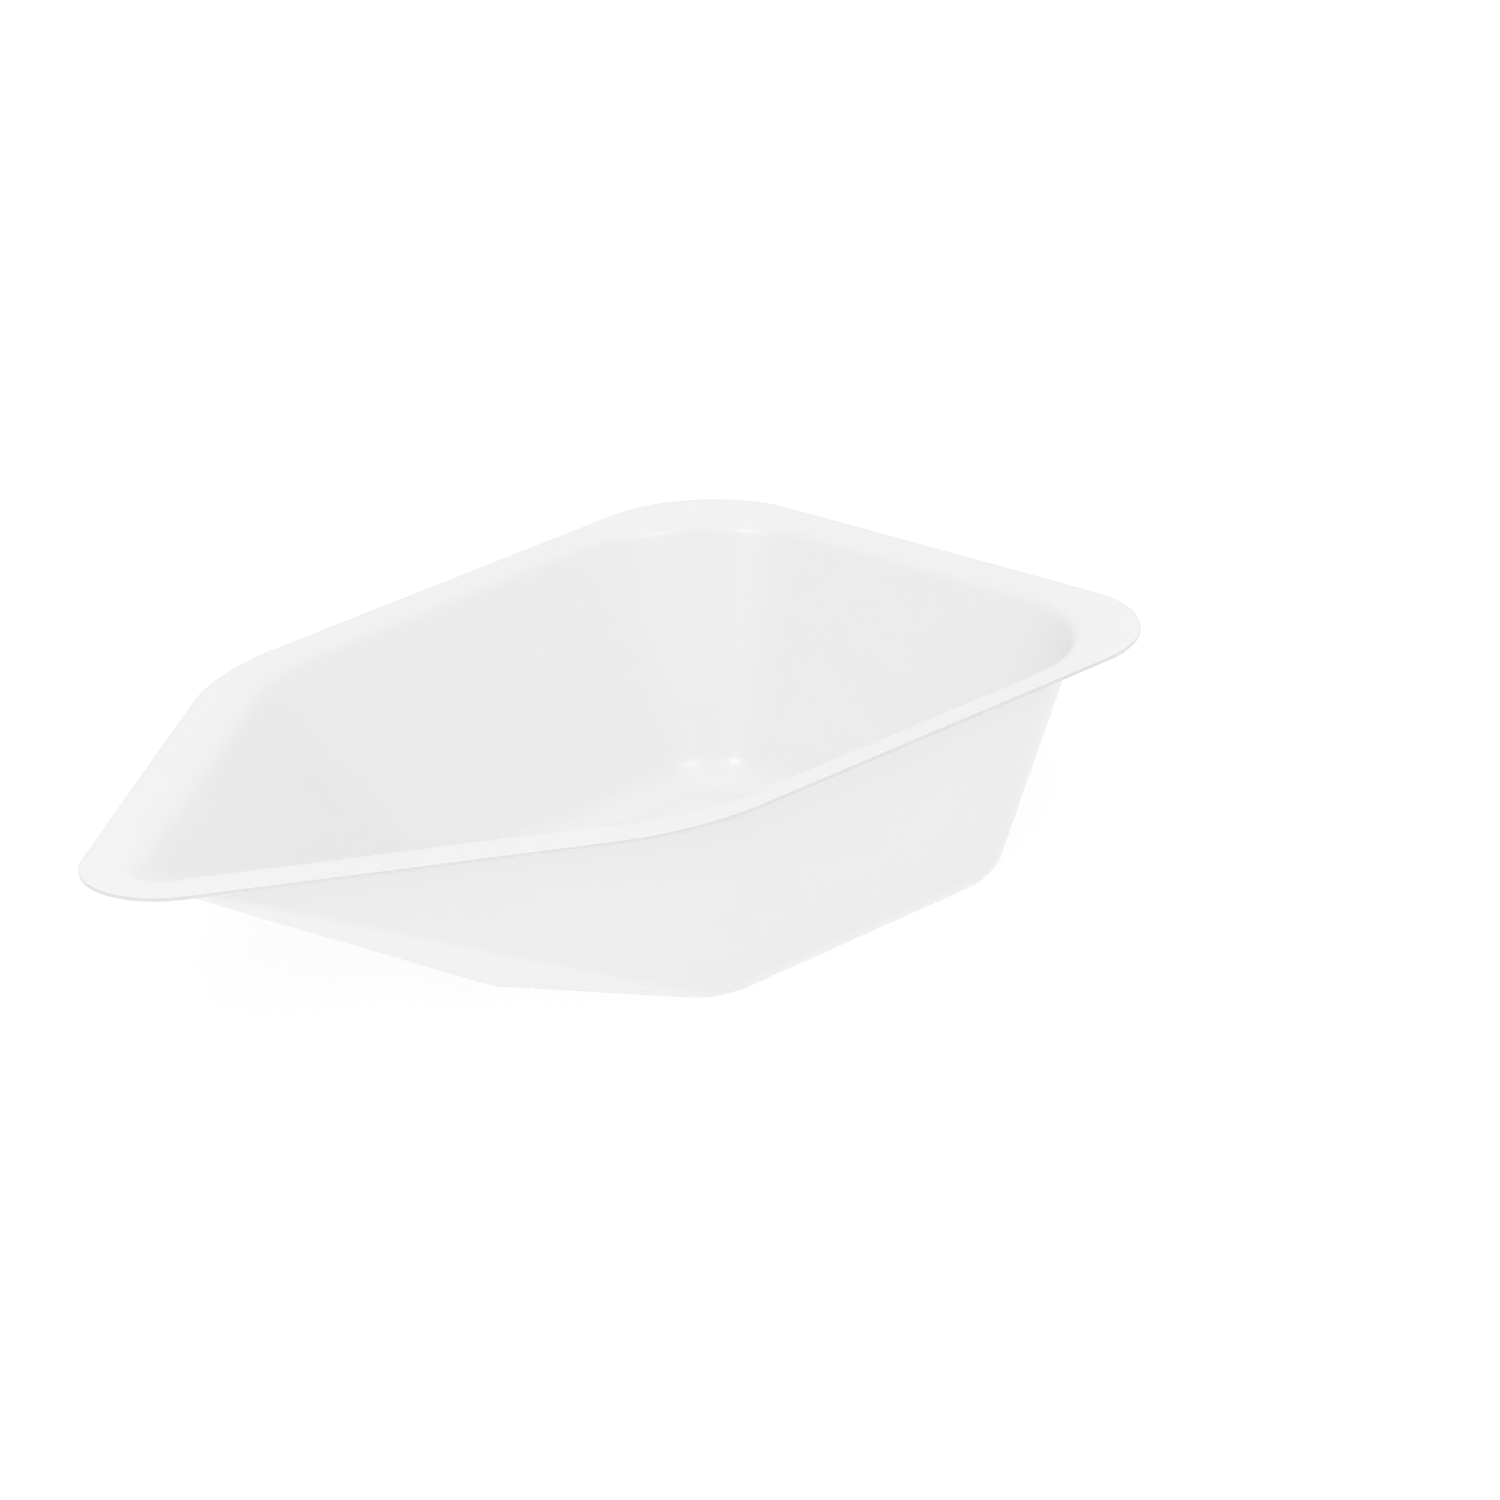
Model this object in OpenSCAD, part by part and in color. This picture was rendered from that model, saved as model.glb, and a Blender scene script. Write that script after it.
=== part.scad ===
// Small pouring boat for weighing powders, formed in one piece from thin sheet.
// Frame: +X towards the flat end, -X towards the pouring tip, +Z up, origin under the middle of the
// overall length and width, on the surface that the boat stands on.

/* [Overall size] */
// Length from the pouring tip to the flat end
length = 56; // [45:0.5:75]
// Width across the flat end
width = 34; // [28:0.5:46]
// Height from the table to the top of the rim
height = 13; // [9:0.5:20]
// Thickness of the sheet
sheet = 0.2; // [0.15:0.05:0.4]

/* [Rim outline] */
// Width across the shoulders, where the pouring end begins
shoulder_width = 33; // [27:0.5:44]
// Angle between the two pouring edges
spout_angle = 67; // [55:1:80]
// Rounding of the rim at the pouring tip
tip_r = 4.2; // [3:0.1:6]
// Rounding of the rim at the two shoulders
shoulder_r = 14; // [8:0.5:20]
// Rounding of the rim at the two rear corners
rear_r = 6.5; // [4:0.5:9]

/* [Flat rim] */
// Flat width of the rim along the pouring edges
rim_spout = 1.7; // [1:0.1:2.2]
// Flat width of the rim along the sides
rim_side = 1; // [0.6:0.1:2]
// Flat width of the rim along the flat end
rim_end = 1.3; // [0.6:0.1:2.5]

/* [Wall slopes] */
// Slope of the side walls above the horizontal
side_slope = 70; // [60:1:80]
// Slope of the end wall above the horizontal
end_slope = 71; // [60:1:80]
// Slope of the two walls under the pouring edges
spout_slope = 60.5; // [56:0.5:66]
// Slope of the two ramps that rise from the floor to the tip
ramp_slope = 34; // [30:1:38]
// Angle between the two ramps, seen from above
ramp_angle = 120; // [100:1:140]

/* [Bends] */
// Bend from the rim into the side and end walls, on the upper face
side_bend = 0.9; // [0.5:0.1:1.5]
// Bend from the rim into the pouring end, on the upper face
spout_bend = 1.4; // [0.6:0.1:2]
// Rounding between the walls and the floor, on the inside
floor_bend = 2; // [1:0.1:3]

/* [Wall corners] */
// Rounding under the rim at the tip
tip_top_r = 2.3; // [1.5:0.1:4]
// Rounding under the rim at the shoulders
shoulder_top_r = 15; // [8:0.5:20]
// Rounding under the rim at the rear corners
rear_top_r = 8.8; // [5:0.1:11]
// Rounding at the floor between the two ramps
keel_floor_r = 0.8; // [0.4:0.1:3]
// Rounding at the floor between each ramp and the wall beside it
chine_floor_r = 3.3; // [1:0.1:5]
// Rounding at the floor under the shoulders
shoulder_floor_r = 1.3; // [0.6:0.1:3]
// Rounding at the floor in the rear corners
rear_floor_r = 2.1; // [1:0.1:4]

/* [Smoothness] */
// Largest turn between neighbouring points round a corner, in degrees
corner_step = 5; // [3:1:10]
// Number of flats across each bend
bend_steps = 6; // [4:1:8]

/* [Hidden] */

// The walls of one half, counted from the keel to the flat end. The other half is its mirror image.
RAMP = 0;
SPOUT = 1;
SIDE = 2;
END = 3;

// Height of the inside, which is also the height of the underside, rim to floor
depth = height - sheet;

// Points where the straight edges of the rim would meet if they weren't rounded
sharp_tip = [-length / 2 - tip_r * (1 / sin(spout_angle / 2) - 1), 0];
sharp_shoulder = sharp_tip + shoulder_width / 2 * [1 / tan(spout_angle / 2), 1];

// The side edge runs from the shoulder to touch the rounding of the rear corner
rear_centre = [length, width] / 2 - rear_r * [1, 1];
to_rear = rear_centre - sharp_shoulder;
side_flare = atan2(to_rear.y, to_rear.x) + asin(rear_r / norm(to_rear));

// Direction of each wall's outward normal, seen from above
facing = [90 + ramp_angle / 2, 90 + spout_angle / 2, 90 + side_flare, 0];
slope = [ramp_slope, spout_slope, side_slope, end_slope];
bend = [spout_bend, spout_bend, side_bend, side_bend];

// Distance of each rim edge from the origin, square to the edge
spout_edge = unit(facing[SPOUT]) * sharp_tip;
side_edge = unit(facing[SIDE]) * sharp_shoulder;
end_edge = length / 2;

// Distance of each wall from the origin where it starts to bend down from the rim. The ramps start
// at the rounding of the tip and touch it.
spout_start = spout_edge - rim_spout;
tip_start = [(spout_start - tip_top_r) / cos(facing[SPOUT]), 0];
ramp_start = unit(facing[RAMP]) * tip_start + tip_top_r;
start = [ramp_start, spout_start, side_edge - rim_side, end_edge - rim_end];

// Roundings between neighbouring walls: keel, chine, shoulder and rear corner
top_r = [tip_top_r, tip_top_r, shoulder_top_r, rear_top_r];
floor_r = [keel_floor_r, chine_floor_r, shoulder_floor_r, rear_floor_r];

// Directions at which every outline has a point. Each wall's own direction comes twice, a hair to
// either side, so that the wall stays flat between its two corners.
hair = 0.01;
corner_ends = [facing[END], facing[SIDE], facing[SPOUT], facing[RAMP], 180];
half_turn = [
    for (i = [0 : 3])
        let (from = corner_ends[i] + hair, to = corner_ends[i + 1] - (i < 3 ? hair : 0))
        let (steps = ceil((to - from) / corner_step))
        for (k = [0 : steps]) from + (to - from) * k / steps
];
directions = concat(half_turn, [for (i = [len(half_turn) - 2 : -1 : 0]) -half_turn[i]]);

// Depths at which the walls have an outline: close together in the two bends, none in between
bend_angles = [for (k = [0 : bend_steps]) max(slope) * k / bend_steps];
top_depths = [for (a = bend_angles) max(bend) * (1 - cos(a))];
floor_depths = [for (a = bend_angles) depth - (floor_bend + sheet) * (1 - cos(a))];
depths = concat(top_depths, reversed(floor_depths));

function unit(angle) = [cos(angle), sin(angle)];

function reversed(list) = [for (i = [len(list) - 1 : -1 : 0]) list[i]];

// Point where two lines cross, each given by its normal's direction and its distance from the origin
function crossing(a, distance_a, b, distance_b) = [
    distance_a * sin(b) - distance_b * sin(a),
    distance_b * cos(a) - distance_a * cos(b)
] / sin(b - a);

// How far a wall has come in at a depth below the rim: round the top bend, down the slope, round
// the floor bend. The face under the sheet has the tighter top bend and the wider floor bend.
function run_in(wall, at, under) =
    let (top = bend[wall] - under, low = floor_bend + under, left = depth - at)
    let (bent = 1 - cos(slope[wall]))
    at < top * bent ? chord(top, at) :
    left < low * bent ? whole_run(wall) - chord(low, left) :
    top * sin(slope[wall]) + (at - top * bent) / tan(slope[wall]);

// How far a wall comes in from the start of its top bend to the end of its floor bend
function whole_run(wall) =
    let (both = bend[wall] + floor_bend)
    both * sin(slope[wall]) + (depth - both * (1 - cos(slope[wall]))) / tan(slope[wall]);

// Horizontal reach of an arc that leaves the level at zero and has come down by drop
function chord(r, drop) = sqrt(max(0, r * r - (r - drop) * (r - drop)));

// Disc that rounds the corner between two neighbouring walls: [x, y, radius]. At the tip it is never
// larger than the disc that touches all four walls there. Where the wall under the pouring edge has
// run out, the disc sits between the ramp and the side wall.
function corner_disc(i, at, under) =
    let (before = max(i - 1, 0), behind = i == 0 ? -facing[0] : facing[i - 1])
    let (run = [for (wall = [RAMP : END]) run_in(wall, at, under)], reach = start - run)
    let (share = (run[before] / whole_run(before) + run[i] / whole_run(i)) / 2)
    let (blend = top_r[i] + (floor_r[i] - top_r[i]) * share)
    let (r = i > SPOUT ? blend : min(blend, tip_fit(reach)))
    let (corner = crossing(behind, reach[before] - r, facing[i], reach[i] - r))
    let (other = i == SPOUT ? SIDE : RAMP)
    let (spout_gone = (i == SPOUT || i == SIDE) && unit(facing[other]) * corner > reach[other] - r)
    concat(spout_gone ? crossing(facing[RAMP], reach[RAMP] - r, facing[SIDE], reach[SIDE] - r) : corner, r);

// Radius of the disc that touches both ramps and both walls under the pouring edges
function tip_fit(reach) =
    let (x = (reach[SPOUT] - reach[RAMP]) / (cos(facing[SPOUT]) - cos(facing[RAMP])))
    reach[RAMP] - cos(facing[RAMP]) * x;

// Closed line round the outside of the discs and their mirror images, at height z
function outline(discs, z) = [
    for (angle = directions)
        let (n = unit(abs(angle)), reach = [for (d = discs) d.x * n.x + d.y * n.y + d.z])
        let (disc = discs[search(max(reach), reach)[0]], p = [disc.x, disc.y] + disc.z * n)
        [p.x, p.y * sign(angle), z]
];

// Outline of one face of the sheet at a depth: under is 0 on the inside and sheet underneath
function wall_ring(at, under) =
    outline([for (i = [RAMP : END]) corner_disc(i, at, under)], height - under - at);

// Outline of the rim's cut edge
function rim_ring(z) = outline([
    [tip_r - length / 2, 0, tip_r],
    concat(crossing(facing[SPOUT], spout_edge - shoulder_r, facing[SIDE], side_edge - shoulder_r), shoulder_r),
    concat(rear_centre, rear_r)
], z);

// Skin over a stack of outlines with equal numbers of points, closed at the first and the last
module loft(rings) {
    n = len(rings[0]);
    sides = [
        for (i = [0 : len(rings) - 2], k = [0 : n - 1])
            let (next = (k + 1) % n)
            [i * n + k, i * n + next, (i + 1) * n + next, (i + 1) * n + k]
    ];
    first = [for (k = [n - 1 : -1 : 0]) k];
    last = [for (k = [0 : n - 1]) (len(rings) - 1) * n + k];
    polyhedron([for (ring = rings) each ring], concat([first], sides, [last]), convexity = 4);
}

// The formed sheet: up the inside from the floor, out over the rim, round its cut edge and back
// down the underside
module boat() {
    inside = [for (at = reversed(depths)) wall_ring(at, 0)];
    rim = [rim_ring(height), rim_ring(height - sheet)];
    underside = [for (at = depths) wall_ring(at, sheet)];
    color("whitesmoke") loft(concat(inside, rim, underside));
}

boat();
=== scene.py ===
import math

import bpy
from mathutils import Matrix, Vector


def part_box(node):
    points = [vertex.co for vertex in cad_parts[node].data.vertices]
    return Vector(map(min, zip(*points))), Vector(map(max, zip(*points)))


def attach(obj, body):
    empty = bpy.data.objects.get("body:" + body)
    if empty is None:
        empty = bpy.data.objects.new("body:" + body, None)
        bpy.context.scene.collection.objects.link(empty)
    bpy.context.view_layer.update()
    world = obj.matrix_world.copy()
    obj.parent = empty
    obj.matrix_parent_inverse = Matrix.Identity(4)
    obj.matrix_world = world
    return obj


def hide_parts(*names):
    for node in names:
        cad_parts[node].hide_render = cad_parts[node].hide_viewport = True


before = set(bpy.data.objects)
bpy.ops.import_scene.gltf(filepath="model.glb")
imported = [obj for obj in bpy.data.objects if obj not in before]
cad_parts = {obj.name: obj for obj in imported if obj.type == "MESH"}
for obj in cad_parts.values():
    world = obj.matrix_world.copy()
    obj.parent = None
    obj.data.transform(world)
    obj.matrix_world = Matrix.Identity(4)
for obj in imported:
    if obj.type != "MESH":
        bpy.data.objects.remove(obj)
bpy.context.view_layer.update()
scene = bpy.context.scene


# --- The boat -----------------------------------------------------------------------------------
# One piece of white polystyrene sheet, warmed, drawn down into a mould and cut free round its flat
# rim. Its flat walls meet in corners that tighten towards the floor. A node tree forms it in rows,
# which run from the middle of the cut edge to the middle of the floor, above and below the sheet.
MM = 0.001
low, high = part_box("boat")
boat_sizes = {
    "Length": high.x - low.x,
    "Width": high.y - low.y,
    "Height": high.z - low.z,
    "Sheet": 0.2 * MM,
    "Edge rounding": 0.03 * MM,
    "Shoulder width": 33 * MM,
    "Spout angle": math.radians(67),
    "Tip radius": 4.2 * MM,
    "Shoulder radius": 14 * MM,
    "Rear radius": 6.5 * MM,
    "Rim at spout": 1.7 * MM,
    "Rim at side": 1 * MM,
    "Rim at end": 1.3 * MM,
    "Ramp slope": math.radians(34),
    "Spout slope": math.radians(60.5),
    "Side slope": math.radians(70),
    "End slope": math.radians(71),
    "Ramp angle": math.radians(120),
    "Spout bend": 1.4 * MM,
    "Side bend": 0.9 * MM,
    "Floor bend": 2 * MM,
    "Tip top radius": 2.3 * MM,
    "Shoulder top radius": 15 * MM,
    "Rear top radius": 8.8 * MM,
    "Keel floor radius": 0.8 * MM,
    "Chine floor radius": 3.3 * MM,
    "Shoulder floor radius": 1.3 * MM,
    "Rear floor radius": 2.1 * MM,
}

forming = bpy.data.node_groups.new("Formed boat", "GeometryNodeTree")
forming.interface.new_socket("Formed sheet", in_out="OUTPUT", socket_type="NodeSocketGeometry")
for name in boat_sizes:
    forming.interface.new_socket(name, in_out="INPUT", socket_type="NodeSocketFloat")
forming.interface.new_socket("Plastic", in_out="INPUT", socket_type="NodeSocketMaterial")
given = forming.nodes.new("NodeGroupInput")


class Measure:
    """A number in the forming rule. Whatever is worked out from it becomes Math nodes."""

    def __init__(self, socket):
        self.socket = socket

    def __add__(self, other):
        return worked("ADD", self, other)

    def __sub__(self, other):
        return worked("SUBTRACT", self, other)

    def __mul__(self, other):
        return worked("MULTIPLY", self, other)

    def __truediv__(self, other):
        return worked("DIVIDE", self, other)

    def __rsub__(self, other):
        return worked("SUBTRACT", other, self)

    def __rtruediv__(self, other):
        return worked("DIVIDE", other, self)

    __radd__, __rmul__ = __add__, __mul__


def worked(operation, *values):
    """A Math node on these values, each a Measure or a plain number."""
    node = forming.nodes.new("ShaderNodeMath")
    node.operation = operation
    for socket, value in zip(node.inputs, values):
        if isinstance(value, Measure):
            forming.links.new(value.socket, socket)
        else:
            socket.default_value = value
    return Measure(node.outputs[0])


def size(name):
    """One of the boat's sizes, as the tree is given it."""
    return Measure(given.outputs[name])


def sin(angle):
    return worked("SINE", angle)


def cos(angle):
    return worked("COSINE", angle)


def between_0_and_1(value):
    return worked("MINIMUM", worked("MAXIMUM", value, 0), 1)


def pick(test, yes, no):
    """The first value where the test is 1, and the second where it is 0."""
    return no + (yes - no) * test


def crossing(normal_a, reach_a, normal_b, reach_b):
    """The point where two lines cross, each given by its normal and how far out it lies."""
    spread = normal_a[0] * normal_b[1] - normal_a[1] * normal_b[0]
    return (
        (reach_a * normal_b[1] - reach_b * normal_a[1]) / spread,
        (reach_b * normal_a[0] - reach_a * normal_b[0]) / spread,
    )


# The walls of one half, from the keel to the flat end: where the rim's sharp corners would be,
# which way each wall faces, how steep it is, and where it leaves the rim
RAMP, SPOUT, SIDE, END = range(4)
half_spout = size("Spout angle") * 0.5
half_width = size("Width") * 0.5
half_length = size("Length") * 0.5
sharp_tip = 0 - half_length - size("Tip radius") * (1 / sin(half_spout) - 1)
sharp_shoulder = (
    sharp_tip + size("Shoulder width") * 0.5 / worked("TANGENT", half_spout),
    size("Shoulder width") * 0.5,
)
rear_centre = (half_length - size("Rear radius"), half_width - size("Rear radius"))
along = rear_centre[0] - sharp_shoulder[0]
across = rear_centre[1] - sharp_shoulder[1]
side_flare = worked("ARCTAN2", across, along) + worked(
    "ARCSINE", size("Rear radius") / worked("SQRT", along * along + across * across)
)
facing = [size("Ramp angle") * 0.5, half_spout, side_flare]
normal = [(0 - sin(angle), cos(angle)) for angle in facing] + [(1.0, 0.0)]
slope = [size(name) for name in ("Ramp slope", "Spout slope", "Side slope", "End slope")]
bend = [size(name) for name in ("Spout bend", "Spout bend", "Side bend", "Side bend")]

spout_edge = normal[SPOUT][0] * sharp_tip
side_edge = normal[SIDE][0] * sharp_shoulder[0] + normal[SIDE][1] * sharp_shoulder[1]
spout_start = spout_edge - size("Rim at spout")
tip_start = (spout_start - size("Tip top radius")) / normal[SPOUT][0]
start = [
    normal[RAMP][0] * tip_start + size("Tip top radius"),
    spout_start,
    side_edge - size("Rim at side"),
    half_length - size("Rim at end"),
]

# Rows of the grid, counted from the middle of the cut edge inwards, and columns round the boat,
# which run clockwise as seen from above, so that the faces point outwards
EDGE_STEPS, RIM_STEPS, BEND_STEPS, WALL_STEPS, FLOOR_STEPS = 4, 4, 14, 8, 3
COLUMNS = 480
CLOCKWISE = -2 * math.pi
RIM_ROW = 1 + EDGE_STEPS
WALL_ROW = RIM_ROW + RIM_STEPS
FLOOR_ROW = WALL_ROW + 2 * BEND_STEPS + WALL_STEPS
MIDDLE_ROW = FLOOR_ROW + FLOOR_STEPS

grid = forming.nodes.new("GeometryNodeMeshGrid")
grid.inputs["Size X"].default_value = 1
grid.inputs["Size Y"].default_value = 1
grid.inputs["Vertices X"].default_value = COLUMNS + 1
grid.inputs["Vertices Y"].default_value = 2 * MIDDLE_ROW + 1
place = forming.nodes.new("ShaderNodeSeparateXYZ")
forming.links.new(forming.nodes.new("GeometryNodeInputPosition").outputs[0], place.inputs[0])
turn = Measure(place.outputs[0]) * CLOCKWISE
row = worked("ROUND", Measure(place.outputs[1]) * (2 * MIDDLE_ROW))
step = worked("ABSOLUTE", row)
below = worked("GREATER_THAN", row, 0)
under = below * size("Sheet")
towards = (cos(turn), worked("ABSOLUTE", sin(turn)))


def share_of(first, steps):
    """Runs from 0 at the first row to 1 after this many steps."""
    return between_0_and_1((step - first) / steps)


def eased(share):
    """Draws the rows together at both ends, so that a flat stays flat up to its bends."""
    return (1 - cos(share * math.pi)) * 0.5


# Depth of each row below the rim's upper face: round the top bend, down the wall, round the floor
depth = size("Height") - size("Sheet")
steepest = worked("MAXIMUM", size("Side slope"), size("End slope"))
widest_bend = worked("MAXIMUM", size("Spout bend"), size("Side bend"))
top_drop = widest_bend * (1 - cos(share_of(WALL_ROW, BEND_STEPS) * steepest))
floor_turn = (1 - share_of(FLOOR_ROW - BEND_STEPS, BEND_STEPS)) * steepest
floor_rise = (size("Floor bend") + size("Sheet")) * (1 - cos(floor_turn))
down = eased(share_of(WALL_ROW + BEND_STEPS, WALL_STEPS))
row_depth = top_drop + (depth - floor_rise - top_drop) * down


def chord(radius, drop):
    """How far an arc that starts level has reached when it has come down by this drop."""
    rest = radius - drop
    return worked("SQRT", worked("MAXIMUM", radius * radius - rest * rest, 0))


def whole_run(wall):
    """How far a wall comes in from the start of its top bend to the end of its floor bend."""
    both = bend[wall] + size("Floor bend")
    flat = depth - both * (1 - cos(slope[wall]))
    return both * sin(slope[wall]) + flat / worked("TANGENT", slope[wall])


def run_in(wall):
    """How far a wall has come in at this row's depth."""
    top, foot = bend[wall] - under, size("Floor bend") + under
    bent = 1 - cos(slope[wall])
    left = depth - row_depth
    sloped = top * sin(slope[wall]) + (row_depth - top * bent) / worked("TANGENT", slope[wall])
    near_floor = worked("LESS_THAN", left, foot * bent)
    lower = pick(near_floor, whole_run(wall) - chord(foot, left), sloped)
    near_rim = worked("LESS_THAN", row_depth, top * bent)
    return pick(near_rim, chord(top, row_depth), lower)


# Discs that round the corners between neighbouring walls: keel, chine, shoulder and rear corner
run = [run_in(wall) for wall in (RAMP, SPOUT, SIDE, END)]
reach = [first - inward for first, inward in zip(start, run)]
drawn = [inward / whole_run(wall) for wall, inward in enumerate(run)]
fit_x = (reach[SPOUT] - reach[RAMP]) / (normal[SPOUT][0] - normal[RAMP][0])
tip_fit = reach[RAMP] - normal[RAMP][0] * fit_x


def corner_disc(corner, top_name, floor_name):
    """(x, y, radius) of the disc in a corner. Where the spout wall has run out, it sits between
    the ramp and the side wall."""
    before = max(corner - 1, RAMP)
    behind = (normal[RAMP][0], 0 - normal[RAMP][1]) if corner == RAMP else normal[before]
    share = (drawn[before] + drawn[corner]) * 0.5
    radius = size(top_name) + (size(floor_name) - size(top_name)) * share
    if corner in (RAMP, SPOUT):
        radius = worked("MINIMUM", radius, tip_fit)
    x, y = crossing(behind, reach[before] - radius, normal[corner], reach[corner] - radius)
    if corner in (SPOUT, SIDE):
        other = SIDE if corner == SPOUT else RAMP
        past = worked(
            "GREATER_THAN", normal[other][0] * x + normal[other][1] * y, reach[other] - radius
        )
        straight = crossing(
            normal[RAMP], reach[RAMP] - radius, normal[SIDE], reach[SIDE] - radius
        )
        x, y = pick(past, straight[0], x), pick(past, straight[1], y)
    return x, y, radius


def outline(discs):
    """The point of a line drawn round the outside of the discs, in this column's direction."""
    best = None
    for x, y, radius in discs:
        point = (x + radius * towards[0], y + radius * towards[1])
        reached = x * towards[0] + y * towards[1] + radius
        if best is None:
            best, furthest = point, reached
            continue
        further = worked("GREATER_THAN", reached, furthest)
        best = tuple(pick(further, new, old) for new, old in zip(point, best))
        furthest = worked("MAXIMUM", reached, furthest)
    return best


wall_x, wall_y = outline(
    [
        corner_disc(RAMP, "Tip top radius", "Keel floor radius"),
        corner_disc(SPOUT, "Tip top radius", "Chine floor radius"),
        corner_disc(SIDE, "Shoulder top radius", "Shoulder floor radius"),
        corner_disc(END, "Rear top radius", "Rear floor radius"),
    ]
)

# The rim's cut edge, with its two arrises just taken off
edge_turn = share_of(1, EDGE_STEPS) * (math.pi / 2)
inset = size("Edge rounding") * (1 - cos(edge_turn))
shoulder_centre = crossing(
    normal[SPOUT],
    spout_edge - size("Shoulder radius"),
    normal[SIDE],
    side_edge - size("Shoulder radius"),
)
rim_x, rim_y = outline(
    [
        (size("Tip radius") - half_length, 0, size("Tip radius") - inset),
        (*shoulder_centre, size("Shoulder radius") - inset),
        (*rear_centre, size("Rear radius") - inset),
    ]
)
half_sheet = size("Sheet") * 0.5
edge_height = (half_sheet - size("Edge rounding") * (1 - sin(edge_turn))) * share_of(0, 1)

# Each point: out on the cut edge, across the rim, down the wall, and in to the middle of the
# floor, whose first row stays close to its edge, so that the bend beside it keeps its shading
FLOOR_CROWDING = 4
across_rim = eased(share_of(RIM_ROW, RIM_STEPS))
into_floor = worked("POWER", share_of(FLOOR_ROW, FLOOR_STEPS), FLOOR_CROWDING)
floor_middle = (reach[END] + reach[RAMP] / normal[RAMP][0]) * 0.5
x = rim_x + (wall_x - rim_x) * across_rim
y = (rim_y + (wall_y - rim_y) * across_rim) * worked("SIGN", turn)
z = size("Height") - half_sheet + edge_height * (1 - below * 2) - row_depth
formed = forming.nodes.new("ShaderNodeCombineXYZ")
forming.links.new((x + (floor_middle - x) * into_floor).socket, formed.inputs[0])
forming.links.new((y * (1 - into_floor)).socket, formed.inputs[1])
forming.links.new(z.socket, formed.inputs[2])


def next_node(kind, geometry, **values):
    """Adds a node that takes the geometry made so far, and gives its output."""
    node = forming.nodes.new(kind)
    forming.links.new(geometry, node.inputs[0])
    for name, value in values.items():
        socket = node.inputs[name]
        if isinstance(value, bpy.types.NodeSocket):
            forming.links.new(value, socket)
        else:
            socket.default_value = value
    return node.outputs[0]


# Marks the rows of the cut edge, where the plastic gets its painted shade
on_cut_edge = (1 - share_of(1, EDGE_STEPS)).socket
sheet = next_node(
    "GeometryNodeStoreNamedAttribute", grid.outputs["Mesh"], Name="cut_edge", Value=on_cut_edge
)
sheet = next_node("GeometryNodeSetPosition", sheet, Position=formed.outputs[0])
sheet = next_node("GeometryNodeMergeByDistance", sheet, Distance=0.001 * MM)
sheet = next_node("GeometryNodeSetShadeSmooth", sheet)
sheet = next_node("GeometryNodeRealizeInstances", sheet)
sheet = next_node("GeometryNodeSetMaterial", sheet, Material=given.outputs["Plastic"])
result = forming.nodes.new("NodeGroupOutput")
forming.links.new(sheet, result.inputs[0])

# The plastic: white polystyrene, softly glossy from the mould, with a faintly uneven skin. Light
# scatters about a millimetre deep in it. The cut face is painted a darker grey: painted shade on
# the thin edge that faces sideways.
plastic = bpy.data.materials.new("white_polystyrene")
plastic.use_nodes = True
nodes, links = plastic.node_tree.nodes, plastic.node_tree.links
finish = nodes["Principled BSDF"]
finish.inputs["IOR"].default_value = 1.59
finish.inputs["Subsurface Weight"].default_value = 1
finish.inputs["Subsurface Radius"].default_value = (1, 1, 1)
finish.inputs["Subsurface Scale"].default_value = 1 * MM
where = nodes.new("ShaderNodeTexCoord")


def cloud(scale, detail):
    """Noise in the plastic, at this many patches a metre."""
    noise = nodes.new("ShaderNodeTexNoise")
    noise.inputs["Scale"].default_value = scale
    noise.inputs["Detail"].default_value = detail
    links.new(where.outputs["Object"], noise.inputs["Vector"])
    return noise.outputs["Fac"]


def ranged(factor, least, most):
    """Noise spread between these two values."""
    spread = nodes.new("ShaderNodeMapRange")
    spread.inputs["To Min"].default_value = least
    spread.inputs["To Max"].default_value = most
    links.new(factor, spread.inputs["Value"])
    return spread.outputs["Result"]


tint = nodes.new("ShaderNodeMix")
tint.data_type = "RGBA"
tint.inputs["A"].default_value = (0.842, 0.842, 0.844, 1)
tint.inputs["B"].default_value = (0.858, 0.858, 0.857, 1)
links.new(cloud(scale=130, detail=0), tint.inputs["Factor"])
edge_share = nodes.new("ShaderNodeAttribute")
edge_share.attribute_name = "cut_edge"
# The grey mixed in on the cut edge is painted shade, not a colour of the plastic
cut_face_shade = nodes.new("ShaderNodeMix")
cut_face_shade.data_type = "RGBA"
cut_face_shade.inputs["B"].default_value = (0.575, 0.575, 0.575, 1)
links.new(edge_share.outputs["Fac"], cut_face_shade.inputs["Factor"])
links.new(tint.outputs["Result"], cut_face_shade.inputs["A"])
links.new(cut_face_shade.outputs["Result"], finish.inputs["Base Color"])
haze = ranged(cloud(scale=220, detail=1), least=0.28, most=0.32)
links.new(haze, finish.inputs["Roughness"])
skin = nodes.new("ShaderNodeBump")
skin.inputs["Strength"].default_value = 0.25
skin.inputs["Distance"].default_value = 0.01 * MM
links.new(cloud(scale=900, detail=2), skin.inputs["Height"])
links.new(skin.outputs["Normal"], finish.inputs["Normal"])

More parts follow.
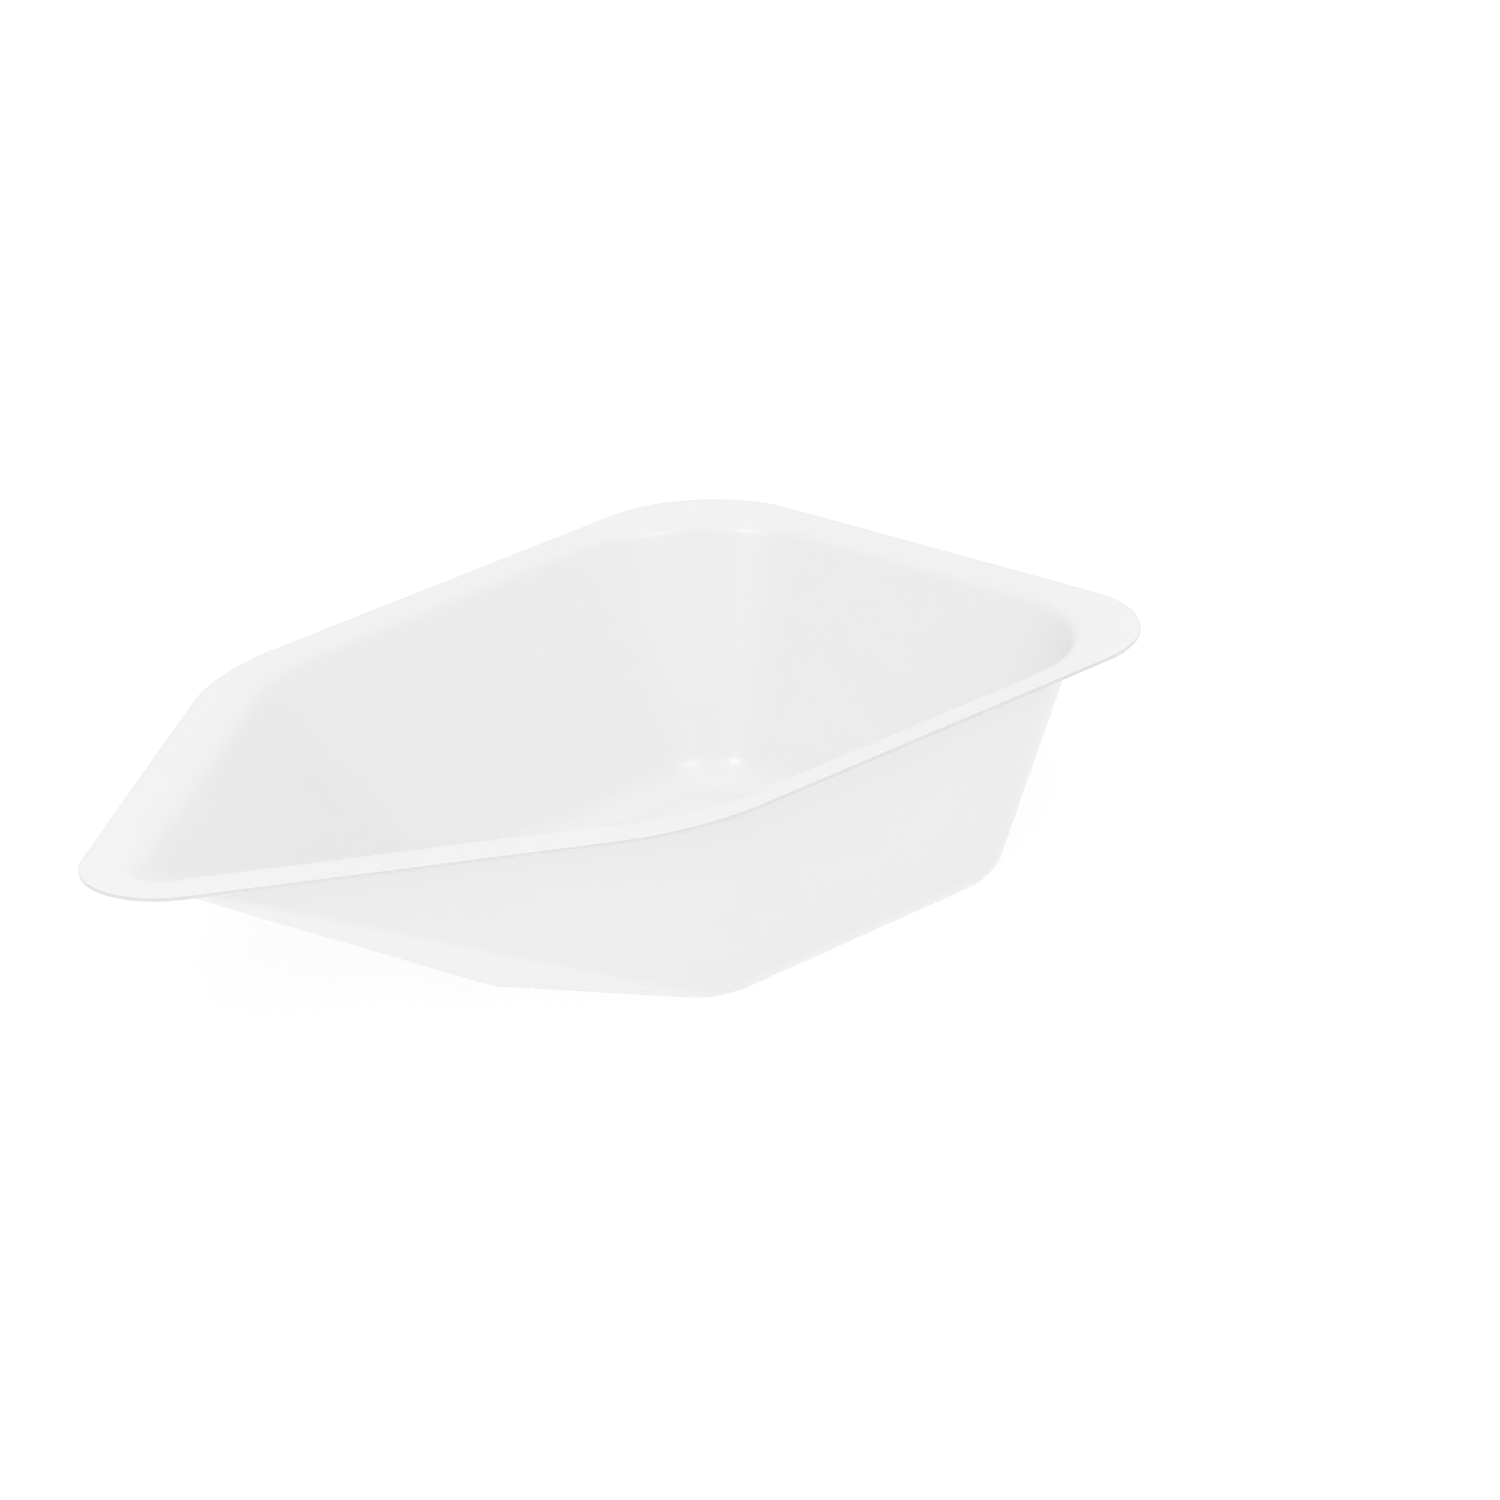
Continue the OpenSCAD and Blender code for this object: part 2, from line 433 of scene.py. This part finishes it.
boat = bpy.data.objects.new("weighing_boat", bpy.data.meshes.new("forming_grid"))
scene.collection.objects.link(boat)
former = boat.modifiers.new("Forming", "NODES")
former.node_group = forming
for item in forming.interface.items_tree:
    if item.in_out == "INPUT":
        former[item.identifier] = plastic if item.name == "Plastic" else boat_sizes[item.name]
evaluated = boat.evaluated_get(bpy.context.evaluated_depsgraph_get())
boat.data = bpy.data.meshes.new_from_object(evaluated)
boat.modifiers.clear()
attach(boat, "root")
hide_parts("boat")


# --- The table ----------------------------------------------------------------------------------
# A wide table top, painted plain white, that the boat stands on. The camera and the boat's gloss
# see its paint, which keeps the boat's shadow. The light it gives the plastic is set on its own.
TABLE_SIZE = 3
bpy.ops.mesh.primitive_plane_add(size=TABLE_SIZE)
table = bpy.context.object
table.name = "table_top"


def seen_share(nodes, links):
    """1 for what the camera sees directly, in gloss or through clear things, else 0."""
    path = nodes.new("ShaderNodeLightPath")
    seen = path.outputs["Is Camera Ray"]
    for other in ("Is Glossy Ray", "Is Transmission Ray"):
        either = nodes.new("ShaderNodeMath")
        either.operation = "MAXIMUM"
        links.new(seen, either.inputs[0])
        links.new(path.outputs[other], either.inputs[1])
        seen = either.outputs[0]
    return seen


table_white = bpy.data.materials.new("table_white")
table_white.use_nodes = True
nodes, links = table_white.node_tree.nodes, table_white.node_tree.links
paint = nodes["Principled BSDF"]
paint.inputs["Base Color"].default_value = (0.5, 0.5, 0.5, 1)
paint.inputs["Emission Color"].default_value = (1, 1, 1, 1)
paint.inputs["Emission Strength"].default_value = 0.6
paint.inputs["Roughness"].default_value = 1
paint.inputs["Specular IOR Level"].default_value = 0
table.data.materials.append(table_white)

table_light = nodes.new("ShaderNodeEmission")
table_light.inputs["Strength"].default_value = 0.93
table_mix = nodes.new("ShaderNodeMixShader")
links.new(seen_share(nodes, links), table_mix.inputs["Fac"])
links.new(table_light.outputs[0], table_mix.inputs[1])
links.new(paint.outputs[0], table_mix.inputs[2])
links.new(table_mix.outputs[0], nodes["Material Output"].inputs["Surface"])


# --- The room -----------------------------------------------------------------------------------
# An even white room, a little brighter overhead than round the horizon. The camera and the boat's
# gloss see it as plain white.
room = bpy.data.worlds.new("white_room")
room.use_nodes = True
scene.world = room
nodes, links = room.node_tree.nodes, room.node_tree.links
walls = nodes["Background"]
direction = nodes.new("ShaderNodeTexCoord")
upward = nodes.new("ShaderNodeSeparateXYZ")
brighter_above = nodes.new("ShaderNodeMapRange")
brighter_above.inputs["To Min"].default_value = 0.6
brighter_above.inputs["To Max"].default_value = 0.86
links.new(direction.outputs["Generated"], upward.inputs[0])
links.new(upward.outputs["Z"], brighter_above.inputs["Value"])
links.new(brighter_above.outputs["Result"], walls.inputs["Strength"])
seen_walls = nodes.new("ShaderNodeBackground")
room_mix = nodes.new("ShaderNodeMixShader")
links.new(seen_share(nodes, links), room_mix.inputs["Fac"])
links.new(walls.outputs[0], room_mix.inputs[1])
links.new(seen_walls.outputs[0], room_mix.inputs[2])
links.new(room_mix.outputs[0], nodes["World Output"].inputs["Surface"])
walls.inputs["Color"].default_value = seen_walls.inputs["Color"].default_value = (1, 1, 1, 1)


# --- The lamps ----------------------------------------------------------------------------------
# Two tall soft boxes show only in the boat's gloss, and draw the two streaks in its far corner.
# A wide one behind the camera lights only the plastic, and fills the shade on the near walls.
LAMP_DISTANCE = 0.9


def aimed(obj, target, azimuth, elevation, distance, roll=0):
    """Sets up a lamp or camera round the target, facing it. Azimuth counts from the front of the
    boat's long side, anticlockwise from above."""
    turned, raised = math.radians(azimuth - 90), math.radians(elevation)
    level = math.cos(raised)
    away = Vector((level * math.cos(turned), level * math.sin(turned), math.sin(raised)))
    facing_in = away.to_track_quat("Z", "Y").to_matrix() @ Matrix.Rotation(roll, 3, "Z")
    obj.matrix_world = Matrix.Translation(target + away * distance) @ facing_in.to_4x4()
    scene.collection.objects.link(obj)


def soft_lamp(name, azimuth, elevation, width, height, radiance, in_gloss):
    """A soft box of this width and height, with its face this bright, where 1 is white. It either
    shows in the gloss only or lights the plastic only."""
    lamp = bpy.data.lights.new(name, "AREA")
    lamp.shape = "RECTANGLE"
    lamp.size, lamp.size_y = width, height
    lamp.energy = radiance * math.pi * width * height
    box = bpy.data.objects.new(name, lamp)
    box.visible_glossy = in_gloss
    box.visible_diffuse = box.visible_transmission = not in_gloss
    aimed(box, Vector((0, 0, 0)), azimuth, elevation, LAMP_DISTANCE)


streak_box = {"width": 0.1, "height": 0.17, "in_gloss": True}
soft_lamp("right_streak", azimuth=-11, elevation=35, radiance=15, **streak_box)
soft_lamp("left_streak", azimuth=-85, elevation=32, radiance=17, **streak_box)
soft_lamp("fill", azimuth=-45, elevation=40, radiance=2.1, width=0.5, height=0.5, in_gloss=False)


# --- The camera ---------------------------------------------------------------------------------
# A long lens that looks over the near long side into the far corner of the flat end. It is tipped
# sideways by a few degrees.
camera = bpy.data.objects.new("camera", bpy.data.cameras.new("camera"))
camera.data.lens = 150
camera.data.sensor_width = 36
camera.data.clip_start = 0.01
middle = Vector((13.8 * MM, 0, 6.5 * MM))
aimed(camera, middle, azimuth=-45.4, elevation=21.6, distance=310 * MM, roll=math.radians(-2.7))
scene.camera = camera
scene.view_settings.view_transform = "Standard"
